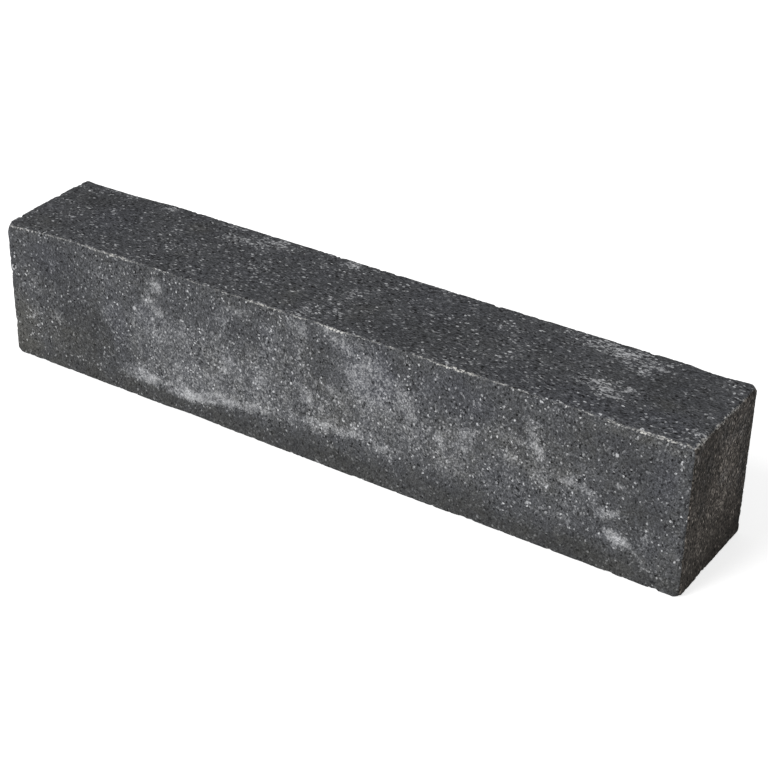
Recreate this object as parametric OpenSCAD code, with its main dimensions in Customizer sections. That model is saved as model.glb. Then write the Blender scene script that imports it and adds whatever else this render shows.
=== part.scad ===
// Concrete wall block: one solid cast stone whose edges were worn in a tumbler.
// X runs along the length, Y from the front face to the back face, and Z up from the lower bed.
// The origin is the middle of the lower bed, which lies on Z = 0.
// The six faces stay flat, so blocks bed on each other and butt end to end. The wear is at the twelve
// arrises and eight corners: rounded, knocked blunt, chipped, and scuffed away in places. At one
// corner it reached further, and knocked down a shoulder of the upper bed.

/* [Block] */
// Length, from end face to end face
length = 600; // [300:1:1000]
// Depth, from the front face to the back face
depth = 100; // [80:1:250]
// Height, from the lower bed to the upper bed
height = 120; // [80:1:250]

/* [Rounded arrises] */
// Rounding of the four arrises that run along the length
long_arris_r = 2; // [1:0.5:8]
// Rounding of the four arrises that run across the depth
cross_arris_r = 2.5; // [1:0.5:8]
// Rounding of the four upright arrises
upright_arris_r = 3; // [1:0.5:8]

/* [Blunt corners] */
// Radius of the ball shape that each corner is worn to
corner_ball_r = 24; // [16:1:50]
// Depth that is worn off the tip of the bluntest corner
corner_wear = 8; // [6:0.5:12]

/* [Small chips] */
// Distance between the small chips along an arris, before they are scattered
chip_pitch = 46; // [30:1:70]
// Radius of the smallest ball shape that a chip leaves
chip_ball_min = 4; // [3:0.5:8]
// Radius of the largest ball shape that a chip leaves
chip_ball_max = 12; // [8:0.5:25]
// Depth of the shallowest chip below the rounded arris
chip_depth_min = 0.4; // [0.3:0.1:0.8]
// Depth of the deepest chip below the rounded arris
chip_depth_max = 1.5; // [1:0.1:2]
// Number that the scatter of the chips is drawn from
scatter_seed = 23; // [1:1:99]

/* [Scuffed stretches] */
// Length of the long scuff on the upper front arris, near its right end
scuff_length = 84; // [40:1:120]
// Depth of the long scuff below the rounded arris
scuff_depth = 2.4; // [1:0.1:3]

/* [Knocked-down shoulder] */
// How far the upper bed is knocked down at its left front corner
shoulder_drop = 4.6; // [2:0.2:6]
// Length of the knocked-down shoulder along the front arris
shoulder_run = 66; // [40:1:120]
// Length of the knocked-down shoulder along the left arris
shoulder_reach = 98; // [60:1:140]

/* [Hidden] */
$fn = 48;
// How far a flat cutter reaches past the face that it starts from
overshoot = 1;
// Share of its own pitch that a small chip may be scattered along the arris
chip_scatter = 0.36;
// Angle that a small chip may lean from the arris's middle towards either face
chip_lean = 24;

// Wear of each corner as a share of the bluntest one's: left then right, for each of those front
// then back, and for each of those lower then upper
corner_wear_shares = [0.44, 0.75, 0.63, 0.5, 0.44, 0.6, 0.38, 0.38];

// The arrises of each direction, in the order that at_four_arrises() visits them
lower_front = 0;
upper_front = 1;
lower_back = 2;
upper_back = 3;
lower_right = 0;
upper_right = 1;
upper_left = 3;
right_front = 0;
left_front = 1;
right_back = 2;

// Scuffs of the long arrises: which arris, place along it as a share from its left end, length, depth
scuffs = [
    [upper_front, 0.92, scuff_length, scuff_depth],
    [upper_back, 0.05, 1.5 * scuff_length, 1.1 * scuff_depth],
    [upper_back, 0.95, 0.5 * scuff_length, 0.6 * scuff_depth],
    [lower_front, 0.31, 0.7 * scuff_length, 0.4 * scuff_depth],
    [lower_back, 0.62, 0.8 * scuff_length, 0.5 * scuff_depth]
];
// Chips that stand out: which arris, place along it as a share, ball radius and depth.
// Shares run from the left end, from the front, and from the lower bed.
long_chips = [
    [upper_front, 0.111, 6, 1.5],
    [upper_front, 0.148, 5, 1.3],
    [upper_front, 0.481, 8, 1.6],
    [upper_back, 0.429, 3, 1.6],
    [lower_front, 0.715, 10, 1.0],
    [lower_front, 0.968, 5, 1.2]
];
cross_chips = [
    [lower_right, 0.36, 6, 1.5],
    [upper_right, 0.14, 7, 1.5],
    [upper_left, 0.62, 6, 1.4]
];
upright_chips = [
    [left_front, 0.61, 5, 1.3],
    [left_front, 0.24, 5, 1.3],
    [right_front, 0.23, 5, 1.2],
    [right_front, 0.41, 4, 1.0],
    [right_back, 0.85, 4, 1.2],
    [right_back, 0.10, 14, 1.4]
];

// Distance from a sharp right-angled arris to the surface of its rounding
function rounding_gap(r) = r * (sqrt(2) - 1);

// Radius of a ball that leaves a hollow of this length and depth
function hollow_ball_r(hollow_length, hollow_depth) =
    (pow(hollow_length / 2, 2) + pow(hollow_depth, 2)) / (2 * hollow_depth);

// A size between two limits. Most draws land near the low one, as most chips are small.
function mostly_small(low, high, draw) = low + (high - low) * pow(draw, 2);

// Outline with four round corners, as flat sides and true arcs
module rounded_outline(w, h, r) {
    square([w - 2 * r, h], center = true);
    square([w, h - 2 * r], center = true);
    for (x = [-1, 1], y = [-1, 1])
        translate([x * (w / 2 - r), y * (h / 2 - r)]) circle(r);
}

// The block with its arrises rounded and nothing else worn: what its three outlines have in common
module rounded_block() {
    intersection() {
        rotate([90, 0, 90])
            linear_extrude(length, center = true) rounded_outline(depth, height, long_arris_r);
        rotate([90, 0, 0])
            linear_extrude(depth, center = true) rounded_outline(length, height, cross_arris_r);
        linear_extrude(height, center = true) rounded_outline(length, depth, upright_arris_r);
    }
}

// Puts its children on the four arrises of a centred bar that runs along X, with sides a and b.
// In a child's own frame the arris is the X axis, and the bar fills the space below Y and Z.
module at_four_arrises(a, b) {
    for (i = [0, 1], j = [0, 1]) {
        $arris = 2 * i + j;
        translate([0, (2 * i - 1) * a / 2, (2 * j - 1) * b / 2])
            mirror([0, 1 - i, 0]) mirror([0, 0, 1 - j]) children();
    }
}

// A ball that bites into an arris rounded to r: place along it, ball radius, depth, lean to one face
module bite(x, ball_r, bite_depth, r, lean = 0) {
    reach = ball_r - bite_depth - rounding_gap(r);
    translate([x, reach * cos(45 + lean), reach * sin(45 + lean)]) sphere(ball_r);
}

// Small chips scattered along an arris of this length, different on each arris
module small_chips(arris_length, r, group) {
    count = floor(arris_length / chip_pitch);
    pitch = arris_length / count;
    seed = scatter_seed + 10 * group + $arris;
    shifts = rands(-chip_scatter, chip_scatter, count, seed);
    balls = rands(0, 1, count, seed + 100);
    depths = rands(0, 1, count, seed + 200);
    leans = rands(-chip_lean, chip_lean, count, seed + 300);
    for (k = [0 : count - 1])
        bite(
            (k + 0.5 + shifts[k]) * pitch - arris_length / 2,
            mostly_small(chip_ball_min, chip_ball_max, balls[k]),
            mostly_small(chip_depth_min, chip_depth_max, depths[k]),
            r,
            leans[k]
        );
}

// The chosen chips that belong to the arris being visited
module chosen_chips(chips, arris_length, r) {
    for (c = chips)
        if (c[0] == $arris)
            bite((c[1] - 0.5) * arris_length, c[2], c[3], r);
}

// The scuffs that belong to the arris being visited
module scuffed_stretches() {
    for (s = scuffs)
        if (s[0] == $arris)
            bite((s[1] - 0.5) * length, hollow_ball_r(s[2], s[3]), s[3], long_arris_r);
}

// What is worn off one corner: all that lies outside a ball. The corner is at the origin, and the
// block fills the space above it along X, Y and Z.
module worn_tip(wear) {
    inset = (corner_ball_r + wear) / sqrt(3);
    difference() {
        translate([-overshoot, -overshoot, -overshoot]) cube(inset + overshoot);
        translate([inset, inset, inset]) sphere(corner_ball_r);
    }
}

// All eight corners, each worn by its own amount
module worn_corners() {
    for (i = [0, 1], j = [0, 1], k = [0, 1])
        mirror([i, 0, 0]) mirror([0, j, 0]) mirror([0, 0, k])
            translate([-length / 2, -depth / 2, -height / 2])
                worn_tip(corner_wear * corner_wear_shares[4 * i + 2 * j + k]);
}

// The shoulder of the upper bed that is knocked down at its left front corner: all that lies above a
// plane, which rises from under that corner and meets the bed along a slanting line
module worn_shoulder() {
    translate([-length / 2, -depth / 2, height / 2 - shoulder_drop])
        rotate([atan(shoulder_drop / shoulder_reach), -atan(shoulder_drop / shoulder_run), 0])
            translate([-shoulder_run, -shoulder_reach, 0])
                cube([3 * shoulder_run, 3 * shoulder_reach, 3 * shoulder_drop]);
}

// Wear along the four arrises that run the length, front and back, lower and upper
module worn_long_arrises() {
    at_four_arrises(depth, height) {
        small_chips(length, long_arris_r, 0);
        chosen_chips(long_chips, length, long_arris_r);
        scuffed_stretches();
    }
}

// Wear along the four arrises that run across the depth, right and left, lower and upper
module worn_cross_arrises() {
    rotate([0, 0, 90])
        at_four_arrises(length, height) {
            small_chips(depth, cross_arris_r, 1);
            chosen_chips(cross_chips, depth, cross_arris_r);
        }
}

// Wear along the four upright arrises, front and back, right and left
module worn_upright_arrises() {
    rotate([0, -90, 0])
        at_four_arrises(depth, length) {
            small_chips(height, upright_arris_r, 2);
            chosen_chips(upright_chips, height, upright_arris_r);
        }
}

// The finished block, standing on its lower bed
module wall_block() {
    color("dimgray")
        translate([0, 0, height / 2])
            difference() {
                rounded_block();
                worn_shoulder();
                worn_corners();
                worn_long_arrises();
                worn_cross_arrises();
                worn_upright_arrises();
            }
}

wall_block();
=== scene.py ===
# %% [markdown]
# # A concrete wall block, worn in a tumbler
# This lesson gives one solid concrete block its looks. The block's size, its rounded arrises and its
# larger chips come from a CAD model, which is loaded first and never changed. Everything that is
# added here is measured from that model, so nothing has to be fitted by eye afterwards.
#
# The words used for the block: X runs along its length, Y from the front face to the back face, and
# Z up from the bed that it lies on. An arris is an edge where two faces meet.

# %% Load the CAD block
import math
import random

import bmesh
import bpy
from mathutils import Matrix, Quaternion, Vector, noise


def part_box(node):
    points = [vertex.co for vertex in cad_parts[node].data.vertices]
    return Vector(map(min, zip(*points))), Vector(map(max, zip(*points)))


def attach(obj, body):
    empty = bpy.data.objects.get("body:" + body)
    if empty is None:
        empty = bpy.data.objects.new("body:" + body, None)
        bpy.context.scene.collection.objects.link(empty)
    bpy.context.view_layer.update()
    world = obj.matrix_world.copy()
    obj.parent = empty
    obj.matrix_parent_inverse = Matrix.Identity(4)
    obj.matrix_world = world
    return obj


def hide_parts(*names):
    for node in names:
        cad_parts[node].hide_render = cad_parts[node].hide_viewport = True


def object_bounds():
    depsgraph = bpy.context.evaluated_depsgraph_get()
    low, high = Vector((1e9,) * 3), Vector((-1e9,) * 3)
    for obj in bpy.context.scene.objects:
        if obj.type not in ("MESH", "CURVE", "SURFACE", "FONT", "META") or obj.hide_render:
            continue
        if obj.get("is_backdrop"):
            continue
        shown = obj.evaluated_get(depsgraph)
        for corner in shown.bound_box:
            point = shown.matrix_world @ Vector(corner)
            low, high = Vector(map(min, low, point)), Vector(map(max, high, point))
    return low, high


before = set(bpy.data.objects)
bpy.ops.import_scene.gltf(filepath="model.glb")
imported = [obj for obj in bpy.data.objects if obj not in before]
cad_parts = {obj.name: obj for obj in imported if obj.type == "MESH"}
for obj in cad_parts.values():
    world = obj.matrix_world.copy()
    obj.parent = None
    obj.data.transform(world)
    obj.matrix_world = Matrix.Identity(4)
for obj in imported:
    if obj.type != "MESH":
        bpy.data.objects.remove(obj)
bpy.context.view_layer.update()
cad_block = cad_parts["wall_block"]
low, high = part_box("wall_block")
size = high - low
centre = (low + high) / 2
MM = 0.001

print("The block measures", [round(side / MM, 1) for side in size], "mm")

# %% [markdown]
# ## The camera
# A camera is easiest to think of as standing on a ball around what it looks at: how far round, how
# far up, and how far away. A long lens far away keeps the block's long edges nearly parallel, as a
# product picture does. The camera is made first, so that every later step can be looked at.

# %% Place the camera
LOOK_AT = Vector((29.2, 0.0, 54.4)) * MM
AZIMUTH = math.radians(32.99)
ELEVATION = math.radians(29.80)
ROLL = math.radians(1.11)
DISTANCE = 1.3516
LENS = 85.09

away = Vector((
    math.sin(AZIMUTH) * math.cos(ELEVATION),
    -math.cos(AZIMUTH) * math.cos(ELEVATION),
    math.sin(ELEVATION),
))
camera_data = bpy.data.cameras.new("camera")
camera_data.lens = LENS
camera = bpy.data.objects.new("camera", camera_data)
bpy.context.scene.collection.objects.link(camera)
camera.location = LOOK_AT + away * DISTANCE
camera.rotation_mode = "QUATERNION"
camera.rotation_quaternion = (-away).to_track_quat("-Z", "Y") @ Quaternion((0, 0, 1), ROLL)
bpy.context.scene.camera = camera

print("The camera stands", round(DISTANCE, 2), "m away, with a", LENS, "mm lens")

# %% [markdown]
# ## Floor and light
# A studio lights a dark block with one large soft lamp high on the left, and lets a white floor and
# white walls fill the shadows. A Sun lamp with a wide angle is such a lamp: its light is soft, and
# equally strong along the whole block. The world is the fill. Where only the camera looks, the
# world and the floor are white, and the floor still shows the block's shadow.

# %% Helpers for node trees
def add_node(tree, kind, settings=None, inputs=None):
    """Adds a node, sets its options, and sets or links its inputs. Returns the node."""
    node = tree.nodes.new(kind)
    for name, value in (settings or {}).items():
        setattr(node, name, value)
    for name, value in (inputs or {}).items():
        if isinstance(value, bpy.types.NodeSocket):
            tree.links.new(value, node.inputs[name])
        else:
            node.inputs[name].default_value = value
    return node


def empty_material(name):
    """A new material with nodes on, holding nothing but its output."""
    material = bpy.data.materials.new(name)
    material.use_nodes = True
    tree = material.node_tree
    tree.nodes.clear()
    output = tree.nodes.new("ShaderNodeOutputMaterial")
    return material, tree, output


# %% Light the studio
KEY_DIRECTION = Vector((-0.42, -0.78, 0.62))
KEY_STRENGTH = 2.3
KEY_ANGLE = math.radians(35)
FILL_LEVEL = 0.31

key_data = bpy.data.lights.new("key_lamp", "SUN")
key_data.energy = KEY_STRENGTH
key_data.angle = KEY_ANGLE
key_lamp = bpy.data.objects.new("key_lamp", key_data)
key_lamp.rotation_mode = "QUATERNION"
key_lamp.rotation_quaternion = KEY_DIRECTION.to_track_quat("Z", "Y")
bpy.context.scene.collection.objects.link(key_lamp)

world = bpy.data.worlds.new("studio")
world.use_nodes = True
bpy.context.scene.world = world
sky = world.node_tree
sky.nodes.clear()
seen = add_node(sky, "ShaderNodeLightPath")
level = add_node(sky, "ShaderNodeMix", {"data_type": "FLOAT"}, {
    0: seen.outputs["Is Camera Ray"],
    2: FILL_LEVEL,
    3: 1.0,
})
background = add_node(sky, "ShaderNodeBackground", None, {
    "Color": (1, 1, 1, 1),
    "Strength": level.outputs[0],
})
add_node(sky, "ShaderNodeOutputWorld", None, {"Surface": background.outputs[0]})

bpy.context.scene.view_settings.view_transform = "Standard"

print("The key lamp has strength", KEY_STRENGTH, "and the fill", FILL_LEVEL)

# %% Lay the floor
FLOOR_SIZE = 12.0
FLOOR_COLOUR = 0.8
FLOOR_GLOW = 0.70

bpy.ops.object.select_all(action="DESELECT")
bpy.ops.mesh.primitive_plane_add(size=FLOOR_SIZE, location=(0, 0, low.z))
floor = bpy.context.object
floor.name = "studio_floor"
bpy.ops.object.transform_apply(location=True, rotation=True, scale=True)

floor_material, tree, output = empty_material("studio_white")
seen = add_node(tree, "ShaderNodeLightPath")
glow = add_node(tree, "ShaderNodeMath", {"operation": "MULTIPLY"}, {
    0: seen.outputs["Is Camera Ray"],
    1: FLOOR_GLOW,
})
white = (FLOOR_COLOUR, FLOOR_COLOUR, FLOOR_COLOUR, 1)
paint = add_node(tree, "ShaderNodeBsdfDiffuse", None, {"Color": white})
light = add_node(tree, "ShaderNodeEmission", None, {"Strength": glow.outputs[0]})
both = add_node(tree, "ShaderNodeAddShader", None, {0: paint.outputs[0], 1: light.outputs[0]})
tree.links.new(both.outputs[0], output.inputs["Surface"])
floor.data.materials.append(floor_material)
floor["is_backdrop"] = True

print("The floor lies at height", round(low.z / MM, 2), "mm")

# %% [markdown]
# ## The block's mesh
# A cast block is flat over most of its faces, and all its character is at the arrises, where the
# tumbler has knocked it about. So the mesh needs small faces there, and may have larger ones
# elsewhere. The CAD mesh is a poor start, because its triangles are long and thin. Remeshing it
# with voxels would give the same small faces everywhere.
#
# Here a cube is divided into squares all over, and the squares near an arris are then divided in
# four, twice. Each of these faces is small enough for the detail that it has to carry.

# %% Start with a cube of the block's size
bpy.ops.object.select_all(action="DESELECT")
bpy.ops.mesh.primitive_cube_add(size=1.0, location=centre)
block = bpy.context.object
block.name = "concrete_block"
block.scale = size
bpy.ops.object.transform_apply(location=True, rotation=True, scale=True)

# %% Divide it into squares
SQUARE = 2.5 * MM
MOST_PARTS = 60
# Share of an edge's length that has to run along an axis
STRAIGHTNESS = 0.9


def select_edges_along(axis):
    """Selects the edges that run along an axis."""
    bpy.ops.mesh.select_all(action="DESELECT")
    mesh = bmesh.from_edit_mesh(block.data)
    for edge in mesh.edges:
        run = edge.verts[1].co - edge.verts[0].co
        edge.select_set(abs(run[axis]) > STRAIGHTNESS * run.length)
    bmesh.update_edit_mesh(block.data)


def divide_along(axis, parts):
    """Divides the block into equal parts along an axis, in two goes where there are many."""
    first_go = 1
    while parts // first_go > MOST_PARTS:
        first_go += 1
    for share in (first_go, round(parts / first_go)):
        if share > 1:
            select_edges_along(axis)
            bpy.ops.mesh.subdivide(number_cuts=share - 1)


bpy.ops.object.mode_set(mode="EDIT")
bpy.ops.mesh.select_mode(type="EDGE")
for axis in range(3):
    divide_along(axis, round(size[axis] / SQUARE))
bpy.ops.object.mode_set(mode="OBJECT")

print("The cube now has", len(block.data.polygons), "squares")

# %% Divide the squares near an arris again
REFINE_REACHES = (6 * MM, 2.6 * MM)


def arris_distance(place):
    """Distance to the nearest arris. Of the distances to the three pairs of sides, it is the
    second smallest, because the smallest is zero anywhere on the surface."""
    gaps = sorted(size[axis] / 2 - abs(place[axis] - centre[axis]) for axis in range(3))
    return gaps[1]


bpy.ops.object.mode_set(mode="EDIT")
bpy.ops.mesh.select_mode(type="FACE")
for reach in REFINE_REACHES:
    bpy.ops.mesh.select_all(action="DESELECT")
    mesh = bmesh.from_edit_mesh(block.data)
    for face in mesh.faces:
        face.select_set(arris_distance(face.calc_center_median()) < reach)
    bmesh.update_edit_mesh(block.data)
    bpy.ops.mesh.subdivide(number_cuts=1, ngon=False)
bpy.ops.object.mode_set(mode="OBJECT")

triangles = sum(len(face.vertices) - 2 for face in block.data.polygons)
print("With its arrises refined, it has", triangles, "triangles")

# %% [markdown]
# ## A flat picture of the surface
# A texture that is baked later needs every square to have its own place in a flat map. While the
# block is still a perfect box, that is simple: each of its six sides is laid down as a rectangle.
# The four long sides are stacked, and the two ends share the row above them. An automatic unwrap
# would break the rough surface into hundreds of scraps.

# %% Lay out the six sides
MAP_MARGIN = 5 * MM
map_width = size.x + 2 * MAP_MARGIN

# Each side: the direction it faces, then the directions that run right and up in the map
SIDES = {
    "front": (Vector((0, -1, 0)), Vector((1, 0, 0)), Vector((0, 0, 1))),
    "top": (Vector((0, 0, 1)), Vector((1, 0, 0)), Vector((0, 1, 0))),
    "back": (Vector((0, 1, 0)), Vector((-1, 0, 0)), Vector((0, 0, 1))),
    "bottom": (Vector((0, 0, -1)), Vector((1, 0, 0)), Vector((0, -1, 0))),
    "left": (Vector((-1, 0, 0)), Vector((0, -1, 0)), Vector((0, 0, 1))),
    "right": (Vector((1, 0, 0)), Vector((0, 1, 0)), Vector((0, 0, 1))),
}


def extent(direction):
    """Length of the block along one of its own directions."""
    return abs(direction.dot(size))


def side_of(normal):
    """Name of the side that faces most nearly along this direction."""
    return max(SIDES, key=lambda name: SIDES[name][0].dot(normal))


corner = {}
across, up = MAP_MARGIN, MAP_MARGIN
for name, (_, right, upward) in SIDES.items():
    corner[name] = (across, up)
    if name == "left":
        across += extent(right) + MAP_MARGIN
    else:
        up += extent(upward) + MAP_MARGIN

flat_map = block.data.uv_layers.new(name="OFBake")
for face in block.data.polygons:
    name = side_of(face.normal)
    _, right, upward = SIDES[name]
    for loop in face.loop_indices:
        place = block.data.vertices[block.data.loops[loop].vertex_index].co - centre
        u = corner[name][0] + extent(right) / 2 + place.dot(right)
        v = corner[name][1] + extent(upward) / 2 + place.dot(upward)
        flat_map.data[loop].uv = (u / map_width, v / map_width)

print("The map is filled up to", round(up / map_width, 3), "of its height")

# %% [markdown]
# ## Painting places on the mesh
# Several later steps need to know how near a point is to an arris, or whether it lies in a pale
# patch. Such a value is stored on every vertex, as if it was painted on. It is worked out now,
# while a vertex still lies exactly on its flat side. A material reads it as an attribute, and a
# modifier reads it as a vertex group.

# %% Helpers that store a value
def store(name, values):
    """Stores one number per vertex as a named attribute, which a material can read."""
    attribute = block.data.attributes.new(name, "FLOAT", "POINT")
    attribute.data.foreach_set("value", values)
    print(name, "is", round(sum(values) / len(values), 3), "on average")


def make_weights(name, values):
    """Stores one number per vertex as a vertex group, which a modifier can read."""
    group = block.vertex_groups.new(name=name)
    for index, value in enumerate(values):
        if value > 0:
            group.add([index], value, "REPLACE")


# %% Which side each vertex is on, and how near it is to an arris
CRUMBLE_REACH = 5 * MM

places = [vertex.co.copy() for vertex in block.data.vertices]
side_names = [side_of(vertex.normal) for vertex in block.data.vertices]
near_arris = [max(0, 1 - arris_distance(place) / CRUMBLE_REACH) for place in places]
make_weights("near_arris", near_arris)
store("arris", near_arris)
store("ends", [float(name in ("left", "right")) for name in side_names])
store("beds", [float(name in ("top", "bottom")) for name in side_names])

# %% [markdown]
# ## Painting soft patches
# Pale clouds, stains and crumbled stretches are patches with no clear outline. A noise texture
# could scatter them, but each would be like the next. So they are painted one by one, as soft
# ellipses on a side: where its middle is, how long and high it is, how tilted, and how strong. A
# negative strength wipes the paint off again. The ellipses overlap, and noise shifts the place
# that is looked up, which frays their outlines.
#
# A place on the front, the back or an end is given along the side and up from its foot. A place on
# a bed is given along the block and across it. Both are in millimetres.

# %% Helpers that paint soft ellipses
# Noise that frays the outlines: the size of its lumps, and how far it shifts a place, in mm
FRAY = ((14 * MM, 4.5), (5 * MM, 2.5))
# Where a patch's soft edge ends, and how wide it is, both as shares of the patch's half size
PATCH_REACH = 1.3
PATCH_EDGE = 0.9


def smooth(value):
    """Eases a value from 0 to 1, and holds it there outside."""
    value = max(0.0, min(1.0, value))
    return value * value * (3 - 2 * value)


def on_side(place, name):
    """Place on a side in mm: along it from its middle, and up it from the block's own zero."""
    _, right, upward = SIDES[name]
    return place.dot(right) / MM, place.dot(upward) / MM


def frayed(place):
    """The place, shifted by noise of a coarse and a fine grain."""
    shift = Vector()
    for grain, reach in FRAY:
        shift += noise.noise_vector(place / grain) * reach
    return place + shift * MM


def paint(patches, least=0.0, most=1.0):
    """Value of every vertex after painting (side, along, up, half length, half height, tilt,
    strength) patches in turn, held between the least value and the most."""
    by_name = {name: [] for name in SIDES}
    for name, *patch in patches:
        tilt = math.radians(patch[4])
        by_name[name].append((*patch, math.cos(tilt), math.sin(tilt)))
    values = []
    for place, name in zip(places, side_names):
        along, up = on_side(frayed(place), name)
        painted = 0.0
        for x, y, half_x, half_y, _, strength, cosine, sine in by_name[name]:
            dx, dy = along - x, up - y
            turned_x = (dx * cosine + dy * sine) / half_x
            turned_y = (dy * cosine - dx * sine) / half_y
            far = math.hypot(turned_x, turned_y)
            if far < PATCH_REACH:
                painted += strength * smooth((PATCH_REACH - far) / PATCH_EDGE)
        values.append(max(least, min(most, painted)))
    return values


# %% [markdown]
# ## Rubbed and crumbled arrises
# In the tumbler, blocks rub on each other, and the long arrises take most of it. The upright ones
# take less, and so do the lower ones, which the block lay on. In some stretches the arris crumbled
# as well. So each arris gets a value for how hard it was rubbed, and the stretches are painted on.
# The value also sets how wide and pale the line along each arris is drawn, and that line is partly
# worn sand and partly painted highlight.

# %% How hard each arris was rubbed
# The arrises along the block, those across it, and the upright ones
RUB = (1.0, 0.9, 0.45)
RUB_OF_LOWER = 0.5
# Share of the block's height below which an arris counts as a lower one
LOWER_SHARE = 0.25


def rub_at(place):
    """How hard the arris nearest to a place was rubbed."""
    gaps = [size[axis] / 2 - abs(place[axis] - centre[axis]) for axis in range(3)]
    rub = RUB[gaps.index(max(gaps))]
    return rub * (RUB_OF_LOWER if place.z < low.z + size.z * LOWER_SHARE else 1)


# %% Places where an arris crumbled, which also carry painted highlight
CRUMBS_AND_HIGHLIGHTS = (
    ("front", 262, 119, 36, 5, 0, 0.6), ("top", 262, -49, 36, 4, 0, 0.5),
    ("front", -190, 118, 26, 6, 0, 0.4), ("top", -190, -48, 26, 6, 0, 0.3),
    ("front", -40, 118, 24, 6, 0, 0.3), ("front", 20, 118, 12, 7, 0, 0.8),
    ("front", 120, 119, 20, 4, 0, 0.6), ("top", 120, -49, 20, 4, 0, 0.4),
    ("top", -210, 48, 14, 4, 0, 0.6), ("top", -100, 48, 40, 4, 0, 0.5),
    ("top", 205, 48, 40, 4, 0, 0.6), ("front", -284, 117, 14, 6, 0, 0.4),
    ("right", -40, 118, 14, 9, 0, 1.0), ("top", 296, -38, 7, 14, 0, 0.7),
    ("right", 0, 118, 30, 6, 0, 0.8), ("top", 297, 0, 5, 30, 0, 0.5),
    ("front", 297, 40, 4, 12, 0, 0.3),
)
crumbs_and_highlights = paint(CRUMBS_AND_HIGHLIGHTS)
store("rub", [rub_at(place) + more for place, more in zip(places, crumbs_and_highlights)])

# %% [markdown]
# ## Lime bloom
# Young concrete sweats lime. It dries on the surface as a pale film, thick in clouds and streaks
# where water ran or stood, and it makes a block look like itself more than its colour does. The
# wide, thin clouds are painted first, then the streak above the foot and the small thick spots,
# and last the places that were wiped clean again.

# %% Bloom on the sides in view
FRONT_BLOOM = (
    # wide, thin clouds
    (-110, 55, 78, 32, 0, 0.36), (-150, 76, 20, 20, 20, 0.16), (-30, 72, 38, 40, 0, 0.26),
    (48, 88, 30, 22, -10, 0.58), (45, 56, 46, 24, 0, 0.34), (88, 62, 16, 26, 0, 0.26),
    (118, 54, 16, 28, -10, 0.36), (165, 66, 36, 24, 0, 0.20), (150, 40, 30, 14, 0, 0.10),
    (214, 64, 22, 20, 0, 0.17), (-264, 50, 24, 22, 0, 0.10), (-200, 96, 20, 14, 0, 0.10),
    # the streak that dried above the foot, from the left to the middle
    (-168, 22, 22, 7, 4, 0.66), (-132, 21, 34, 6, 2, 0.84), (-95, 24, 26, 6, 4, 0.88),
    (-58, 28, 22, 5, 4, 0.60), (-105, 36, 72, 9, 2, 0.20), (-32, 35, 22, 7, 0, 0.30),
    (2, 35, 14, 8, 0, 0.75), (26, 37, 22, 6, 3, 0.75), (66, 35, 14, 5, 0, 0.45),
    # small thick spots
    (-147, 105, 8, 8, 30, 0.80), (-154, 94, 6, 9, 0, 0.60), (-166, 76, 4, 13, -35, 0.38),
    (-146, 82, 9, 4, -30, 0.40), (-198, 66, 8, 12, 0, 0.28), (-80, 58, 7, 8, 0, 0.50),
    (-270, 72, 5, 12, 10, 0.30), (-274, 40, 7, 8, 0, 0.34), (-252, 46, 8, 5, 0, 0.34),
    (-286, 92, 5, 6, 0, 0.26), (-252, 92, 6, 6, 0, 0.26), (-52, 54, 7, 5, 0, 0.16),
    (-83, 94, 5, 13, -15, 0.42), (-66, 107, 13, 5, 15, 0.48),
    (-13, 112, 9, 11, 0, 0.70), (-8, 57, 6, 11, 25, 0.55), (8, 48, 6, 6, 0, 0.45),
    (16, 73, 6, 9, 20, 0.40), (24, 112, 22, 9, -6, 0.70), (42, 81, 8, 6, 0, 0.25),
    (80, 76, 9, 12, 0, 0.38), (94, 94, 6, 18, -40, 0.30), (110, 58, 6, 6, 0, 0.26),
    (130, 65, 6, 12, -35, 0.55), (162, 65, 7, 6, 0, 0.45), (166, 79, 18, 4, 0, 0.36),
    (180, 94, 6, 14, 15, 0.50), (187, 79, 6, 8, 15, 0.75), (188, 56, 6, 5, 0, 0.50),
    (213, 64, 6, 6, 0, 0.65), (226, 58, 9, 5, -30, 0.55), (239, 48, 8, 5, -10, 0.65),
    (246, 51, 6, 4, 30, 0.50), (248, 72, 5, 4, 0, 0.50), (209, 44, 5, 4, 0, 0.50),
    (211, 32, 10, 4, -10, 0.38), (245, 31, 10, 5, -12, 1.00), (254, 29, 7, 4, -20, 0.75),
    (266, 22, 14, 3, -35, 0.40), (271, 36, 4, 13, -30, 0.45),
    # wiped off again
    (-112, 62, 9, 10, 0, -0.16), (-60, 94, 16, 9, 0, -0.40), (-136, 95, 9, 9, 0, -0.30),
    (-140, 40, 8, 6, 0, -0.16), (4, 92, 10, 16, 0, -0.26), (26, 78, 6, 8, 0, -0.22),
    (76, 111, 18, 8, 0, -0.45), (104, 80, 8, 16, 0, -0.26), (143, 62, 7, 6, 0, -0.35),
    (34, 50, 6, 8, 0, -0.22),
)
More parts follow.
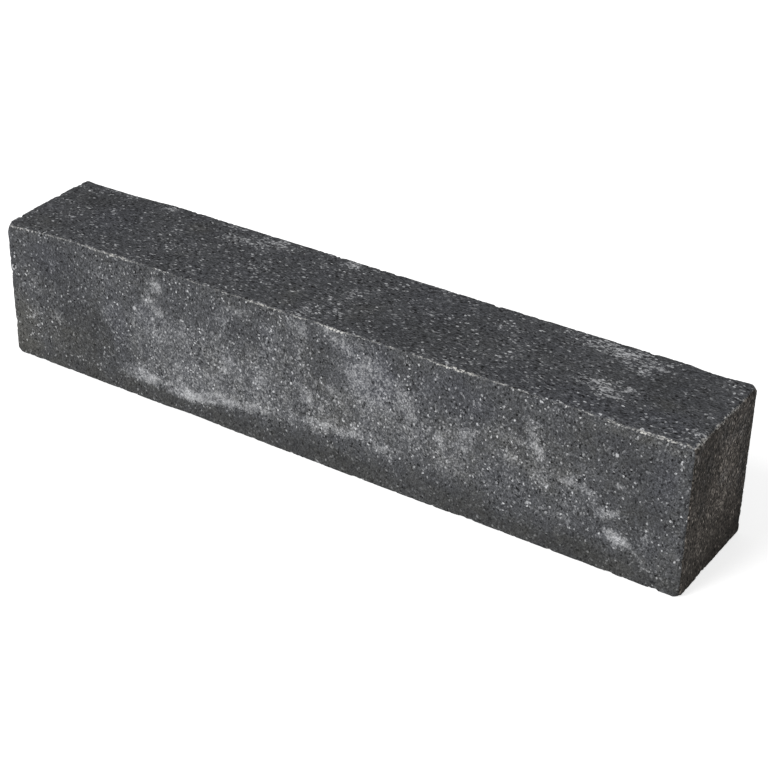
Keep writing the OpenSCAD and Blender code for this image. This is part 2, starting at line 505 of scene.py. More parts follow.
TOP_BLOOM = (
    (-120, 29, 24, 7, 0, 0.70), (-94, 40, 20, 6, 0, 0.70), (-142, 43, 14, 4, 0, 0.50),
    (-207, 41, 9, 5, 0, 0.80), (-30, 43, 9, 5, 0, 0.80), (-250, 44, 26, 4, 0, 0.35),
    (-150, -6, 24, 12, 0, 0.18), (-176, 12, 6, 8, 0, 0.26), (-78, -14, 26, 22, 0, 0.18),
    (5, -27, 6, 11, 0, 0.75), (-14, -38, 10, 12, 20, 0.45), (-3, -6, 7, 14, 0, 0.36),
    (4, 8, 8, 7, 0, 0.34), (14, 24, 5, 10, -30, 0.28), (-46, 28, 10, 8, 0, 0.22),
    (122, 22, 16, 8, 0, 0.22), (140, -12, 8, 22, 0, 0.22), (165, -32, 16, 12, 0, 0.16),
    (184, 38, 16, 7, 0, 0.60), (208, 37, 18, 9, 0, 0.80), (232, 34, 14, 7, 0, 0.72),
    (222, 22, 16, 5, -20, 0.60), (208, -12, 16, 7, 0, 0.75), (222, -20, 14, 8, -15, 0.75),
    (228, -8, 8, 5, 0, 0.60), (288, -36, 14, 10, 0, 0.34), (168, 44, 20, 4, 0, 0.50),
    (-284, 32, 10, 5, 0, 0.25), (-262, -16, 8, 6, 0, 0.24), (-232, -36, 12, 8, 0, 0.20),
)
RIGHT_BLOOM = (
    (4, 67, 8, 8, 0, 0.45), (-9, 64, 6, 8, 0, 0.32), (8, 88, 13, 18, 0, 0.30),
    (-42, 112, 8, 5, 0, 0.20), (16, 62, 12, 14, 0, 0.24), (4, 48, 12, 12, 0, 0.30),
    (-18, 30, 26, 14, 0, 0.14),
)

# %% [markdown]
# ## Bloom on the other sides
# The back, the left end and the lower bed have bloom too, in no special places. So it is drawn at
# random there, from a seed, which gives the same patches each time. Squaring the draw makes most of
# the patches small, and the large ones are made thinner, as they are on the sides in view.

# %% Bloom on the hidden sides
HIDDEN_DRAW = random.Random(11)
SMALLEST_PATCH = 5
MOST_TILT = 30
FLATTEST, ROUNDEST = 0.2, 0.7
THINNING = 0.6
FAINTEST = 0.4
# Thickest that overlapping bloom may get
THICKEST_BLOOM = 1.4


def drawn_patches(name, count, longest, strongest):
    """Patches drawn at random over one side, most of them small and thin."""
    _, right, upward = SIDES[name]
    half = extent(right) / 2 / MM
    foot = (centre.dot(upward) - extent(upward) / 2) / MM
    head = foot + extent(upward) / MM
    patches = []
    for _ in range(count):
        share = HIDDEN_DRAW.random() ** 2
        half_x = SMALLEST_PATCH + share * longest
        patches.append((
            name,
            HIDDEN_DRAW.uniform(-half, half),
            HIDDEN_DRAW.uniform(foot, head),
            half_x,
            half_x * HIDDEN_DRAW.uniform(FLATTEST, ROUNDEST),
            HIDDEN_DRAW.uniform(-MOST_TILT, MOST_TILT),
            strongest * (1 - THINNING * share) * HIDDEN_DRAW.uniform(FAINTEST, 1),
        ))
    return patches


bloom = [("front", *patch) for patch in FRONT_BLOOM]
bloom += [("top", *patch) for patch in TOP_BLOOM]
bloom += [("right", *patch) for patch in RIGHT_BLOOM]
bloom += drawn_patches("back", count=64, longest=64, strongest=0.70)
bloom += drawn_patches("bottom", count=22, longest=26, strongest=0.55)
bloom += drawn_patches("left", count=9, longest=14, strongest=0.35)
store("bloom", paint(bloom, most=THICKEST_BLOOM))

# %% [markdown]
# ## Stains and the dark foot
# The foot is smoother and darker towards the bottom, and took no bloom. Rust from the wet board that
# the block lay on and from iron in the sand left a brown cast, most of all on the ends, and where
# the paste is rich in pigment the grey leans to blue. So two more values are painted: how dark a
# place is, and its warmth, which runs from -1 for blue to 1 for brown.

# %% Paint the dark places
# Darkest that overlapping stains may get
DARKEST = 1.8
DARK_PLACES = (
    ("front", 0, 3, 420, 15, 0, 0.50), ("front", 190, 14, 130, 14, -1, 0.35),
    ("front", 20, 15, 60, 11, 2, 0.30), ("front", -256, 95, 26, 20, 0, 0.35),
    ("front", -222, 42, 44, 34, 0, 0.45), ("front", -214, 47, 7, 8, 0, 0.30),
    ("front", 115, 98, 30, 14, 0, 0.22), ("front", 268, 62, 24, 34, 0, 0.30),
    ("front", 240, 100, 50, 12, 0, 0.30), ("front", 110, 24, 40, 8, 0, 0.25),
    ("back", 0, 3, 420, 14, 0, 0.60), ("back", 60, 90, 60, 24, 0, 0.35),
    ("back", -210, 60, 60, 26, 0, 0.30), ("right", 42, 60, 9, 70, 0, 0.45),
    ("right", 0, 3, 60, 8, 0, 0.45), ("right", -30, 96, 22, 32, 0, 0.45),
    # The dark place in the lower back corner of the right end is painted shade.
    ("right", 8, 24, 10, 8, 0, 0.25), ("right", 40, 14, 14, 10, 0, 0.50),
    ("left", 0, 3, 60, 10, 0, 0.50), ("left", -30, 70, 16, 50, 0, 0.40),
    ("top", -262, 22, 40, 14, 0, 0.30), ("top", -235, -24, 40, 16, 0, 0.22),
    ("top", 258, 12, 30, 34, 0, 0.30), ("top", 60, -20, 50, 26, 0, 0.16),
)
store("dark", paint(DARK_PLACES, most=DARKEST))

# %% Paint the warmth
WARM_PLACES = (
    ("front", -288, 26, 20, 30, 0, 0.85), ("front", -235, 34, 40, 26, 0, 0.45),
    ("front", 0, 6, 420, 14, 0, 0.40), ("front", 120, 50, 26, 22, 0, 0.30),
    ("front", 186, 74, 40, 22, 0, 0.35), ("front", 255, 14, 50, 14, 0, 0.30),
    ("front", 270, 114, 50, 6, 0, 0.40), ("front", 12, 55, 36, 24, 0, 0.25),
    ("front", -256, 95, 30, 20, 0, -0.60), ("front", -188, 62, 12, 40, 10, -0.50),
    ("front", -160, 76, 12, 14, 0, -0.40), ("front", -110, 104, 34, 16, 0, -0.30),
    ("front", 50, 90, 34, 24, -20, -0.70), ("front", 122, 98, 34, 18, 0, -0.70),
    ("front", -40, 90, 12, 16, 0, -0.40), ("front", 280, 90, 12, 30, 0, -0.50),
    ("front", 60, 113, 14, 8, 0, -0.30), ("front", 160, 42, 30, 14, 0, -0.35),
    ("back", 0, 6, 420, 14, 0, 0.45), ("back", 150, 60, 90, 30, 0, 0.40),
    ("back", -260, 40, 40, 30, 0, 0.50), ("back", -60, 70, 80, 40, 10, -0.60),
    ("right", -10, 30, 44, 30, 0, 0.30),
    ("left", 0, 55, 38, 48, 0, 0.15), ("left", -30, 80, 16, 40, 0, -0.40),
    ("top", 262, -10, 14, 8, 0, 0.60), ("top", -166, 28, 12, 8, 0, 0.60),
    ("top", -36, -28, 10, 12, 0, 0.50), ("top", -278, -36, 30, 14, 0, 0.40),
    ("top", -290, 24, 20, 18, 0, 0.30), ("top", 20, -14, 14, 20, 0, 0.30),
    ("top", -225, -5, 26, 30, 0, -0.50), ("top", 210, -38, 60, 14, 0, -0.50),
    ("top", 270, -30, 30, 12, 0, -0.50), ("top", 60, 20, 30, 24, 0, -0.40),
    ("bottom", 40, 0, 120, 40, 0, 0.45),
)
store("warmth", paint(WARM_PLACES, least=-1.0))

# %% [markdown]
# ## The knocked-down shoulder
# At the left front corner, the upper bed falls away. If the grid was wrapped onto the CAD block as
# it is, all its rows above the worn arris would be pressed into one line. So the depth of the CAD's
# bed is measured at three places near that corner. They give the slope, and the grid's upper rows
# follow it down.

# %% Let the upper rows follow the slope
# Places where the bed is measured, in mm along and across from the corner
PROBES = ((12, 12), (36, 12), (12, 48))
PROBE_START = 10 * MM
SLOPE_ROWS = 24 * MM


def bed_drop(along, across):
    """How far the CAD's bed lies below the block's top, at a place in mm from the corner."""
    start = Vector((low.x + along * MM, low.y + across * MM, high.z + PROBE_START))
    found = cad_block.ray_cast(start, Vector((0, 0, -1)))[1]
    return high.z - found.z


bpy.context.view_layer.update()
near, further_along, further_across = (bed_drop(*probe) for probe in PROBES)
fall_along = (near - further_along) / ((PROBES[1][0] - PROBES[0][0]) * MM)
fall_across = (near - further_across) / ((PROBES[2][1] - PROBES[0][1]) * MM)
corner_drop = near + (fall_along * PROBES[0][0] + fall_across * PROBES[0][1]) * MM
for vertex in block.data.vertices:
    from_corner = vertex.co - low
    drop = corner_drop - fall_along * from_corner.x - fall_across * from_corner.y
    share = smooth((vertex.co.z - high.z) / SLOPE_ROWS + 1)
    vertex.co.z -= max(0, drop) * share

print("The shoulder is knocked down by", round(corner_drop / MM, 2), "mm at the corner")

# %% [markdown]
# ## Taking over the CAD block's shape
# The Shrinkwrap modifier moves each vertex to the nearest point of another mesh. With the CAD block
# as its target, the grid takes over the rounded arrises, the blunt corners, the scuffs and the
# larger chips, and the CAD block itself isn't touched.

# %% Wrap the grid onto the CAD block
def apply_modifier(kind, **settings):
    """Adds a modifier to the block, sets it, and applies it."""
    modifier = block.modifiers.new(kind.lower(), kind)
    for name, value in settings.items():
        setattr(modifier, name, value)
    bpy.ops.object.modifier_apply(modifier=modifier.name)


apply_modifier("SHRINKWRAP", target=cad_block, wrap_method="NEAREST_SURFACEPOINT")

# Where vertices met at a corner, they become one
TOUCHING = 0.03 * MM
bpy.ops.object.mode_set(mode="EDIT")
bpy.ops.mesh.select_all(action="SELECT")
bpy.ops.mesh.remove_doubles(threshold=TOUCHING)
bpy.ops.object.mode_set(mode="OBJECT")

print("The wrapped grid has", len(block.data.vertices), "of", len(places), "vertices left")

# %% [markdown]
# ## Roughening the surface
# Pressed concrete is uneven at every scale: long shallow waves, lumps the size of its pebbles, and
# grit. Each scale is one Displace modifier with its own cloud texture. All of them push inwards
# only, because the CAD block is the size that the real one mustn't pass.
#
# A Displace modifier moves each vertex along its normal. Beside a chip, the normals cross each
# other, and the surface would fold. So the mesh is first given normals of its own, which point
# away from a smaller box inside the block: straight out on the faces, and turning evenly round the
# arrises and corners.
#
# The arrises crumble more than the faces, in some stretches and not in others. That is a cloud
# texture with a steep ramp, held to the arrises by the weights that were stored above.

# %% Give the mesh even normals
CORE_INSET = 12 * MM


def away_from_core(place):
    """Direction from the nearest point of a smaller box inside the block."""
    gap = Vector()
    for axis in range(3):
        reach = size[axis] / 2 - CORE_INSET
        offset = place[axis] - centre[axis]
        gap[axis] = offset - max(-reach, min(reach, offset))
    return gap.normalized()


even_normals = block.data.attributes.new("custom_normal", "FLOAT_VECTOR", "POINT")
for vertex, normal in zip(block.data.vertices, even_normals.data):
    normal.vector = away_from_core(vertex.co)

# %% Displace with clouds
def cloud(name, grain, octaves=2, ramp=None):
    """A cloud texture with lumps of one size. A ramp (start, end) sharpens it into patches."""
    texture = bpy.data.textures.new(name, "CLOUDS")
    texture.noise_scale = grain
    texture.noise_depth = octaves
    if ramp:
        texture.use_color_ramp = True
        texture.color_ramp.elements[0].position = ramp[0]
        texture.color_ramp.elements[1].position = ramp[1]
        texture.color_ramp.elements[0].color = (0, 0, 0, 1)
        texture.color_ramp.elements[1].color = (1, 1, 1, 1)
    return texture


def push_in(texture, depth, group=""):
    """Pushes the surface in by up to a depth, where the texture is bright."""
    apply_modifier(
        "DISPLACE",
        texture=texture,
        texture_coords="LOCAL",
        direction="CUSTOM_NORMAL",
        mid_level=0,
        strength=-depth,
        vertex_group=group,
    )


# Each line gives the size of the lumps, and then how deep they push
push_in(cloud("waves", 90 * MM, 1), 0.6 * MM)
push_in(cloud("lumps", 11 * MM, 2), 0.4 * MM)
push_in(cloud("crumble", 5 * MM, 3, ramp=(0.56, 0.8)), 1.0 * MM, "near_arris")
push_in(cloud("arris_grit", 1.8 * MM, 1), 0.35 * MM, "near_arris")
block.data.attributes.remove(block.data.attributes["custom_normal"])
bpy.ops.object.shade_smooth()

least_corner, most_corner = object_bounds()
print("The block now spans", [round(side / MM, 2) for side in most_corner - least_corner], "mm")

# %% [markdown]
# ## The concrete
# Seen close, the surface is dark cement paste full of sand. Pale grains lie bare in it, and small
# holes are left where others fell out. A few pebbles have been cut through by the wear. Pits, pale
# grains and pebbles are the same thing at several sizes: spots scattered at random. So that is
# built once, as a node group, and placed three times with its own values.

# %% Helpers for the material's nodes
def math_node(operation, *values, clamp=False):
    """A Math node on numbers or sockets, in the tree that the sockets belong to."""
    tree = next(value.id_data for value in values if isinstance(value, bpy.types.NodeSocket))
    settings = {"operation": operation, "use_clamp": clamp}
    return add_node(tree, "ShaderNodeMath", settings, dict(enumerate(values))).outputs[0]


def ramp_node(value, start, end, low=0.0, high=1.0):
    """Turns a value that runs from start to end into one that eases from low to high."""
    return add_node(value.id_data, "ShaderNodeMapRange", {"interpolation_type": "SMOOTHSTEP"}, {
        "Value": value,
        "From Min": start,
        "From Max": end,
        "To Min": low,
        "To Max": high,
    }).outputs["Result"]


# %% A node group: scattered spots
SPOT_INPUTS = {
    "Place": "NodeSocketVector",
    "Spacing": "NodeSocketFloat",
    "Share": "NodeSocketFloat",
    "Radius": "NodeSocketFloat",
    "Edge": "NodeSocketFloat",
}
SMALLEST_SPOT = 0.45

spots = bpy.data.node_groups.new("scattered_spots", "ShaderNodeTree")
for name, kind in SPOT_INPUTS.items():
    spots.interface.new_socket(name, in_out="INPUT", socket_type=kind)
for name in ("Mask", "Draw"):
    spots.interface.new_socket(name, in_out="OUTPUT", socket_type="NodeSocketFloat")
given = spots.nodes.new("NodeGroupInput")
cells = add_node(spots, "ShaderNodeTexVoronoi", None, {
    "Vector": given.outputs["Place"],
    "Scale": math_node("DIVIDE", 1.0, given.outputs["Spacing"]),
})
draws = add_node(spots, "ShaderNodeSeparateColor", None, {"Color": cells.outputs["Color"]})
chosen = math_node("LESS_THAN", draws.outputs["Red"], given.outputs["Share"])
size_draw = ramp_node(draws.outputs["Green"], 0.0, 1.0, SMALLEST_SPOT, 1.0)
# The distance that the cells give is counted in spacings
radius = math_node("DIVIDE", given.outputs["Radius"], given.outputs["Spacing"])
radius = math_node("MULTIPLY", radius, size_draw)
inner = math_node("MULTIPLY", radius, math_node("SUBTRACT", 1.0, given.outputs["Edge"]))
round_spot = ramp_node(cells.outputs["Distance"], radius, inner)
add_node(spots, "NodeGroupOutput", None, {
    "Mask": math_node("MULTIPLY", round_spot, chosen),
    "Draw": draws.outputs["Blue"],
})
print("The spots group has", len(spots.nodes), "nodes")

# %% Start the material
concrete, tree, output = empty_material("concrete")
place = add_node(tree, "ShaderNodeTexCoord").outputs["Object"]


def painted(name):
    """The value that was painted on the mesh under this name."""
    return add_node(tree, "ShaderNodeAttribute", {"attribute_name": name}).outputs["Fac"]


ends = painted("ends")
beds = painted("beds")
dark = painted("dark")
rub = painted("rub")


def by_side(on_faces, on_beds, on_ends):
    """A value of its own on the front and back faces, on the beds, and on the ends."""
    value = math_node("MULTIPLY_ADD", beds, on_beds - on_faces, on_faces)
    return math_node("MULTIPLY_ADD", ends, on_ends - on_faces, value)


def noise_node(vector, grain, octaves=2.0, roughness=0.5):
    """Noise with lumps of about one size. Returns its value, less its average of a half."""
    value = add_node(tree, "ShaderNodeTexNoise", None, {
        "Vector": vector,
        "Scale": 1 / grain,
        "Detail": octaves,
        "Roughness": roughness,
    }).outputs["Fac"]
    return math_node("SUBTRACT", value, 0.5)


def mix_node(kind, factor, first, second):
    """Mixes two values (FLOAT), places (VECTOR) or colours (RGBA) by a factor."""
    node = add_node(tree, "ShaderNodeMix", {"data_type": kind})
    sockets = [socket for socket in node.inputs if socket.enabled]
    for socket, value in zip(sockets, (factor, first, second)):
        if isinstance(value, bpy.types.NodeSocket):
            tree.links.new(value, socket)
        else:
            socket.default_value = value
    return next(socket for socket in node.outputs if socket.enabled)


def stretched(scale):
    """The place with its coordinates scaled. A scale under 1 makes a pattern longer that way."""
    return add_node(tree, "ShaderNodeMapping", None, {"Vector": place, "Scale": scale}).outputs[0]


def spot_node(vector, spacing, share, radius, edge):
    """Places the scattered spots. Returns their mask and their draw."""
    node = add_node(tree, "ShaderNodeGroup", {"node_tree": spots}, {
        "Place": vector,
        "Spacing": spacing,
        "Share": share,
        "Radius": radius,
        "Edge": edge,
    })
    return node.outputs["Mask"], node.outputs["Draw"]


# %% [markdown]
# ### Paste and sand
# The mould was drawn off the wet block upwards, which dragged the sand a little: on every upright
# side the grain is longer than it is wide, most of all on the ends. The beds were struck off along
# the block, so there it is long the other way. Squeezing one coordinate does that. Then each grain
# is one cell of a Voronoi texture with its own random tone, and finer noise is the grit between.
#
# Every layer says how many stops it makes the surface lighter or darker, where one stop doubles
# the light that comes back. Stops simply add up, and one power at the end turns them into a level.

# %% Paste and sand
DRAG_ON_FACES = (1, 1, 0.8)
DRAG_ON_ENDS = (1, 1, 0.5)
DRAG_ON_BEDS = (0.65, 1, 1)
SAND_SIZE = 0.8 * MM
SAND_STOPS = 1.7
GRIT_SIZE = 1.7 * MM
GRIT_STOPS = 1.1
ODD_SIZE = 1.25 * MM
ODD_STOPS = 2.8
ODD_RARITY = 7.0

dragged = mix_node("VECTOR", ends, stretched(DRAG_ON_FACES), stretched(DRAG_ON_ENDS))
dragged = mix_node("VECTOR", beds, dragged, stretched(DRAG_ON_BEDS))


def grain_draws(grain):
    """Cells of a Voronoi texture as grains. Returns two random numbers of each, from 0 to 1."""
    cells = add_node(tree, "ShaderNodeTexVoronoi", None, {"Vector": dragged, "Scale": 1 / grain})
    draws = add_node(tree, "ShaderNodeSeparateColor", None, {"Color": cells.outputs["Color"]})
    return draws.outputs["Red"], draws.outputs["Green"]


sand_tone = math_node("SUBTRACT", grain_draws(SAND_SIZE)[0], 0.5)
grit = noise_node(dragged, GRIT_SIZE, 2.0, 0.6)
grain = math_node("MULTIPLY", sand_tone, SAND_STOPS)
grain = math_node("MULTIPLY_ADD", grit, GRIT_STOPS, grain)

# Most coarse grains are like the paste. A few are far lighter or darker: a high power of a number
# from -1 to 1 picks them out.
odd_draw, film_draw = grain_draws(ODD_SIZE)
odd_tone = math_node("MULTIPLY_ADD", odd_draw, 2.0, -1.0)
odd_strength = math_node("POWER", math_node("ABSOLUTE", odd_tone), ODD_RARITY)
odd_grain = math_node("MULTIPLY", math_node("MULTIPLY", odd_tone, odd_strength), ODD_STOPS)

# %% [markdown]
# ### Clouds in the paste
# No batch is mixed evenly, so the paste has mottles as wide as a thumb and blotches as wide as a
# hand. They are plain noise at those two sizes, and weak, because a strong cloud looks like smoke.
# The ends were also torn open when the block was pushed from its mould. That is a fine noise,
# which only the ends get, and the dark places on them more of it.

# %% Clouds in the paste
MOTTLE_SIZE = 11 * MM
MOTTLE_STOPS = 0.7
BLOTCH_SIZE = 60 * MM
BLOTCH_STOPS = 0.6
TEAR_SIZE = 2.6 * MM
TEAR_STOPS = 2.7
TEAR_SHARE = 0.7
TEAR_IN_DARK = 0.8

clouds = math_node("MULTIPLY", noise_node(place, MOTTLE_SIZE, 3.0, 0.6), MOTTLE_STOPS)
clouds = math_node("MULTIPLY_ADD", noise_node(place, BLOTCH_SIZE), BLOTCH_STOPS, clouds)
tear = noise_node(dragged, TEAR_SIZE, 3.0, 0.65)
tear = math_node("MULTIPLY", tear, math_node("MULTIPLY_ADD", dark, TEAR_IN_DARK, TEAR_SHARE))
clouds = math_node("MULTIPLY_ADD", math_node("MULTIPLY", tear, ends), TEAR_STOPS, clouds)

# %% [markdown]
# ### The lime film
# The painted bloom says where the film lies. Seen close, it isn't even: water drew it into clots,
# and on the beds into streaks along the block. So the painted value is multiplied by noise. The
# film also covers some grains and leaves others bare, the more of them the thicker it is. Each
# grain has a random number already, and it is covered where the film is thicker than that number.
#
# On the rough beds the film only caught the crests of the sand, and there it dried thick.

# %% Break the film up
CLOT_SIZE = 4 * MM
CLOT_STRENGTHS = (3.4, 9.4, 3.4)
PATCH_SIZE = 11 * MM
PATCH_STRENGTH = 1.5
STREAKS_ON_BEDS = (0.3, 1.2, 1)
THINNEST_FILM = 0.05

streaked = mix_node("VECTOR", beds, dragged, stretched(STREAKS_ON_BEDS))
film_break = noise_node(streaked, CLOT_SIZE, 4.0, 0.8)
film_break = math_node("MULTIPLY", film_break, by_side(*CLOT_STRENGTHS))
film_break = math_node("MULTIPLY_ADD", noise_node(place, PATCH_SIZE), PATCH_STRENGTH, film_break)
thickness = math_node("MAXIMUM", math_node("ADD", film_break, 1.0), THINNEST_FILM)
bloom = math_node("MULTIPLY", painted("bloom"), thickness)

# %% Cover the grains one by one
COVERED_SHARES = (1.0, 0.6, 1.0)
COVER_EDGE = 0.1
GRAINWISE = (0.5, 0.9, 0.5)
FILM_STRENGTHS = (1.0, 1.3, 1.0)

cover = math_node("MULTIPLY", bloom, by_side(*COVERED_SHARES))
bare_from = math_node("ADD", cover, COVER_EDGE)
covered_to = math_node("SUBTRACT", cover, COVER_EDGE)
covered = ramp_node(film_draw, bare_from, covered_to)
film = mix_node("FLOAT", by_side(*GRAINWISE), bloom, covered)
film = math_node("MULTIPLY", film, by_side(*FILM_STRENGTHS))

# %% [markdown]
# ### Rough and smooth places
# The ends are coarse, the foot is smooth because it lay on the board, and in the dark places the
# paste closed over its sand. So the grain is made stronger or weaker from place to place. The odd
# grains come and go besides, and the film hides them. Then all the layers so far are added up.

# %% Make the grain stronger or weaker
COARSENESS = (0.96, 0.92, 2.06)
SMOOTHER_IN_DARK = -0.2
FOOT_TOP = 45 * MM
FOOT_FULL = 15 * MM
SMOOTHER_AT_FOOT = (-0.12, -0.12, -0.37)
RICHNESS_SIZE = 24 * MM
RICHNESS_RANGE = 1.3
POORER_IN_DARK = -0.6
POORER_IN_FILM = -0.8

richness = math_node("MULTIPLY_ADD", noise_node(place, RICHNESS_SIZE), RICHNESS_RANGE, 1.0)
richness = math_node("MULTIPLY_ADD", dark, POORER_IN_DARK, richness)
richness = math_node("MULTIPLY_ADD", bloom, POORER_IN_FILM, richness)
odd_grain = math_node("MULTIPLY", odd_grain, richness)

coarseness = by_side(*COARSENESS)
smoother = math_node("MULTIPLY_ADD", dark, SMOOTHER_IN_DARK, 1.0)
coarseness = math_node("MULTIPLY", coarseness, smoother)
upright = add_node(tree, "ShaderNodeSeparateXYZ", None, {"Vector": place}).outputs["Z"]
foot = math_node("MULTIPLY", ramp_node(upright, FOOT_TOP, FOOT_FULL), by_side(*SMOOTHER_AT_FOOT))
coarseness = math_node("MULTIPLY_ADD", coarseness, foot, coarseness)
grain = math_node("MULTIPLY", grain, coarseness)

# %% Add up the layers
BLOOM_STOPS = 1.8
DARK_STOPS = -0.8
# The beds and the ends are darker than the faces by stops of their own: painted shade, which makes
# them render darker than the lamps alone make them.
SIDE_SHADE_STOPS = (0.0, -0.22, -0.30)

stops = math_node("ADD", math_node("ADD", grain, odd_grain), clouds)
stops = math_node("MULTIPLY_ADD", film, BLOOM_STOPS, stops)
stops = math_node("MULTIPLY_ADD", dark, DARK_STOPS, stops)
stops = math_node("ADD", stops, by_side(*SIDE_SHADE_STOPS))

# %% [markdown]
# ### Worn arrises and painted highlight
# The tumbler rubbed the arrises down to the sand, in some stretches more than in others, and where
# an arris crumbled it is pale all along. The pale line is also painted highlight: the bright line
# that light draws along a rounded arris, the upper bed's back arris too, is put into the colour. A
# plain line would look drawn. So fine noise moves its edge in and out, coarser noise breaks it into
# stretches, and only some grains in it are pale.

# %% Worn arrises, with painted highlight
ARRIS_STOPS = 2.1
CRUMB_SIZE = 3 * MM
WIDER_BY_RUB = 0.34
WORN_FROM = 0.72
WORN_FULL = 0.93
STRETCH_SIZE = 16 * MM
STRETCH_FROM = -0.20
STRETCH_FULL = 0.03
MOST_RUB = 1.4
DULL_GRAIN = 0.72
PALE_GRAIN = 0.42

extra_rub = math_node("SUBTRACT", rub, 1.0)
nearness = math_node("ADD", noise_node(place, CRUMB_SIZE, 3.0, 0.7), painted("arris"))
nearness = math_node("MULTIPLY_ADD", extra_rub, WIDER_BY_RUB, nearness)
stretch = ramp_node(noise_node(place, STRETCH_SIZE, 3.0, 0.7), STRETCH_FROM, STRETCH_FULL)
stretch = math_node("MAXIMUM", stretch, extra_rub)
wear_and_highlight = math_node("MULTIPLY", ramp_node(nearness, WORN_FROM, WORN_FULL), stretch)
wear_and_highlight = math_node("MULTIPLY", wear_and_highlight, math_node("MINIMUM", rub, MOST_RUB))
wear_and_highlight = math_node("MULTIPLY", wear_and_highlight, ramp_node(film_draw, DULL_GRAIN, PALE_GRAIN))
# The pale arris line is added here: worn sand, and painted highlight where light catches the rounded
# arris.
stops = math_node("MULTIPLY_ADD", wear_and_highlight, ARRIS_STOPS, stops)

# %% [markdown]
# ### Pits
# Where a grain fell out or air was trapped, a small hole is left, which looks nearly black because
# its inside lies in shade. That shade is painted into the colour. The faces slid along the mould and
# have few. The beds and the ends have many. They are the scattered spots with a soft edge, and the
# same mask makes them hollow in the relief later on.

# %% Pits
PIT_SPACING = 4.0 * MM
PIT_RADIUS = 1.15 * MM
PIT_EDGE = 0.6
PIT_SHARES = (0.06, 0.72, 0.76)
PIT_SHADE_STOPS = (-2.0, -3.0, -2.6)

pit_mask = spot_node(dragged, PIT_SPACING, by_side(*PIT_SHARES), PIT_RADIUS, PIT_EDGE)[0]
# Painted shade: the pits are darkened in the colour.
stops = math_node("MULTIPLY_ADD", pit_mask, by_side(*PIT_SHADE_STOPS), stops)

# %% [markdown]
# ### Pale grains and pebbles
# Pale grains and cut pebbles have a tone of their own, whatever the paste around them does. So the
# stops are turned into a level first, and the spots are then laid over it. They crowd together in
# some places and are rare in others, and rarer still where the paste is dark and closed over them.
# Noise shifts the place that is looked up, so that no spot stays round.

# %% From stops to a level
PASTE_LEVEL = 0.086

level = math_node("MULTIPLY", math_node("POWER", 2.0, stops), PASTE_LEVEL)

# %% Where spots crowd together, and what makes them uneven
CROWD_SIZE = 17 * MM
CROWD_RANGE = 3.3
RARER_IN_DARK = -1.5
LEAST_CROWD = 0.1
UNEVEN_SIZE = 1.8 * MM
UNEVEN_REACH = 2.2 * MM

crowd = math_node("MULTIPLY_ADD", noise_node(place, CROWD_SIZE, 3.0, 0.6), CROWD_RANGE, 1.0)
crowd = math_node("MULTIPLY_ADD", dark, RARER_IN_DARK, crowd)
crowd = math_node("MAXIMUM", crowd, LEAST_CROWD)
shift = add_node(tree, "ShaderNodeTexNoise", None, {"Vector": place, "Scale": 1 / UNEVEN_SIZE})
uneven = add_node(tree, "ShaderNodeVectorMath", {"operation": "MULTIPLY_ADD"}, {
    0: shift.outputs["Color"],
    1: (UNEVEN_REACH, UNEVEN_REACH, UNEVEN_REACH),
    2: dragged,
}).outputs[0]

# %% Pale grains
GRAIN_SPACING = 3.2 * MM
GRAIN_RADIUS = 1.1 * MM
GRAIN_EDGE = 0.4
GRAIN_SHARES = (0.012, 0.024, 0.012)
MORE_IN_BLOOM = 0.048
GRAIN_COVER = 0.8
GRAIN_LEVELS = (0.14, 0.52)

grain_share = math_node("MULTIPLY_ADD", bloom, MORE_IN_BLOOM, by_side(*GRAIN_SHARES))
grain_share = math_node("MULTIPLY", grain_share, crowd)
grain_mask, grain_draw = spot_node(uneven, GRAIN_SPACING, grain_share, GRAIN_RADIUS, GRAIN_EDGE)
grain_level = ramp_node(grain_draw, 0.1, 1.0, *GRAIN_LEVELS)
level = mix_node("FLOAT", math_node("MULTIPLY", grain_mask, GRAIN_COVER), level, grain_level)

# %% Pebbles
PEBBLE_SPACING = 6.0 * MM
PEBBLE_RADIUS = 1.5 * MM
PEBBLE_EDGE = 0.25
PEBBLE_SHARES = (0.012, 0.187, 0.012)
PEBBLE_LEVELS = (0.15, 0.55)
LIGHTEST = 0.65

pebble_share = math_node("MULTIPLY", by_side(*PEBBLE_SHARES), crowd)
pebble_mask, pebble_draw = spot_node(
    uneven,
    PEBBLE_SPACING,
    pebble_share,
    PEBBLE_RADIUS,
    PEBBLE_EDGE,
)
level = mix_node("FLOAT", pebble_mask, level, ramp_node(pebble_draw, 0.0, 1.0, *PEBBLE_LEVELS))
level = math_node("MINIMUM", level, LIGHTEST)

# %% [markdown]
# ### Tint
# The grey leans to blue or to brown by a few hundredths, which the eye notices at once on a thing
# that is nearly black. The painted warmth says which way, two noises vary it, and the rust on the
# ends makes them brown all over. Each tint is a colour close to white that the level is multiplied
# by. Lime and pale sand have hardly a tint, and the rubbed arrises show the sand.

# %% Tint
PLAIN_GREY = (0.974, 1.0, 1.055, 1)
BLUE_GREY = (0.968, 1.0, 1.12, 1)
OLIVE_GREY = (1.005, 1.0, 0.94, 1)
BROWN_GREY = (1.125, 1.0, 0.88, 1)
SIDE_WARMTH = (0.0, -0.25, 0.9)
WARMTH_SIZE = 22 * MM
WARMTH_RANGE = 1.3
TINGE_SIZE = 4 * MM

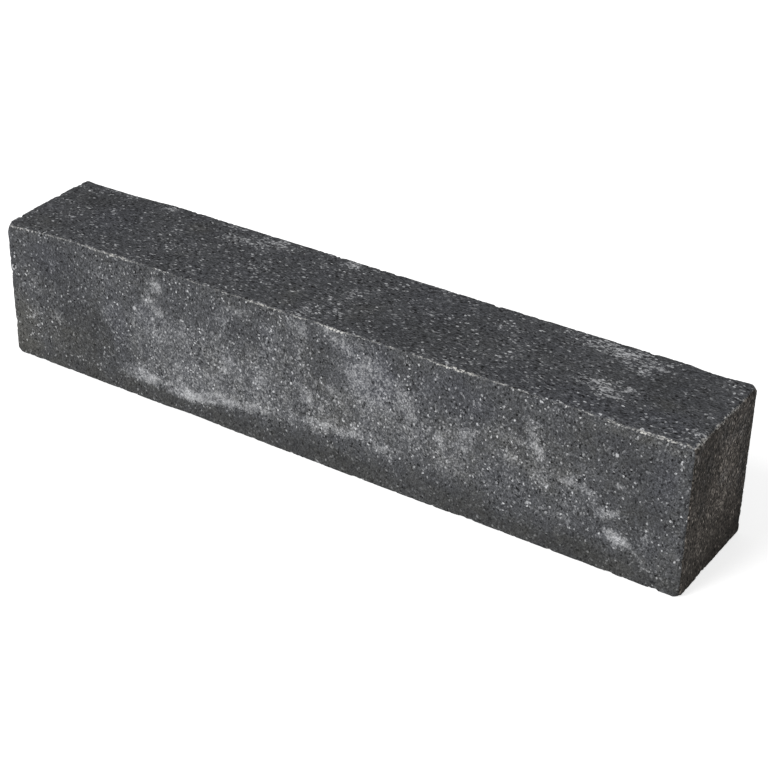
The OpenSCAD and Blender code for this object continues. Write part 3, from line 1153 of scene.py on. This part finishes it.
warmth = math_node("ADD", painted("warmth"), by_side(*SIDE_WARMTH))
warmth = math_node("MULTIPLY_ADD", noise_node(place, WARMTH_SIZE, 3.0), WARMTH_RANGE, warmth)
warmth = math_node("ADD", noise_node(place, TINGE_SIZE), warmth)
browned = math_node("MULTIPLY", warmth, 1.0, clamp=True)
blued = math_node("MULTIPLY", warmth, -1.0, clamp=True)
tint = mix_node("RGBA", browned, PLAIN_GREY, mix_node("RGBA", ends, OLIVE_GREY, BROWN_GREY))
tint = mix_node("RGBA", blued, tint, BLUE_GREY)

# %% Take the tint off lime, pale sand and worn arrises
LIME_GREY = (0.995, 1.0, 1.015, 1)
SAND_GREY = (1.02, 1.0, 0.95, 1)
PALE_FROM = 0.2
PALE_FULL = 2.2
PALE_SHARES = (0.75, 0.75, 0.10)
SANDY_SHARE = 0.7

pale = math_node("MAXIMUM", grain_mask, pebble_mask)
pale = math_node("MAXIMUM", ramp_node(stops, PALE_FROM, PALE_FULL), pale)
pale = math_node("MULTIPLY", pale, by_side(*PALE_SHARES))
tint = mix_node("RGBA", pale, tint, LIME_GREY)
sandy = math_node("MULTIPLY", wear_and_highlight, SANDY_SHARE, clamp=True)
tint = mix_node("RGBA", sandy, tint, SAND_GREY)
colour = add_node(tree, "ShaderNodeVectorMath", {"operation": "SCALE"}, {
    "Vector": tint,
    "Scale": level,
})

# %% [markdown]
# ### Relief
# Grains and pits smaller than the mesh's squares are bump: the surface stays where it is, and the
# light is worked out as if it was tilted. The relief uses the same sand, pits and pebbles as the
# colour does, so a dark hole is also a hollow one. The faces are smoother than the beds and ends.

# %% Relief
RELIEF_DEPTH = 0.5 * MM
SAND_HEIGHT = 0.06
PIT_HEIGHT = -0.5
PEBBLE_HEIGHT = 0.15
FACE_UNEVENNESS = 0.35

unevenness = math_node("ADD", math_node("MAXIMUM", beds, ends), FACE_UNEVENNESS)
height = math_node("MULTIPLY_ADD", sand_tone, SAND_HEIGHT, math_node("MULTIPLY", grit, unevenness))
height = math_node("MULTIPLY_ADD", pit_mask, PIT_HEIGHT, height)
height = math_node("MULTIPLY_ADD", pebble_mask, PEBBLE_HEIGHT, height)
relief = add_node(tree, "ShaderNodeBump", None, {
    "Strength": 1.0,
    "Distance": RELIEF_DEPTH,
    "Height": height,
})

# %% [markdown]
# ### The shader
# Dry concrete scatters light evenly and has hardly a shine, so its roughness is high and its
# specular level low. Colour and relief are the only things that change over the surface.

# %% Join it all in the shader
shader = add_node(tree, "ShaderNodeBsdfPrincipled", None, {
    "Base Color": colour.outputs[0],
    "Roughness": 0.9,
    "Specular IOR Level": 0.2,
    "Normal": relief.outputs[0],
})
tree.links.new(shader.outputs[0], output.inputs["Surface"])
block.data.materials.append(concrete)

print("The concrete has", len(tree.nodes), "nodes")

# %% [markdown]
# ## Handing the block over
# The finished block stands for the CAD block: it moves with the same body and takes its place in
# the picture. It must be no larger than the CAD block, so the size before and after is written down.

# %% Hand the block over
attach(block, "root")
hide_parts("wall_block")
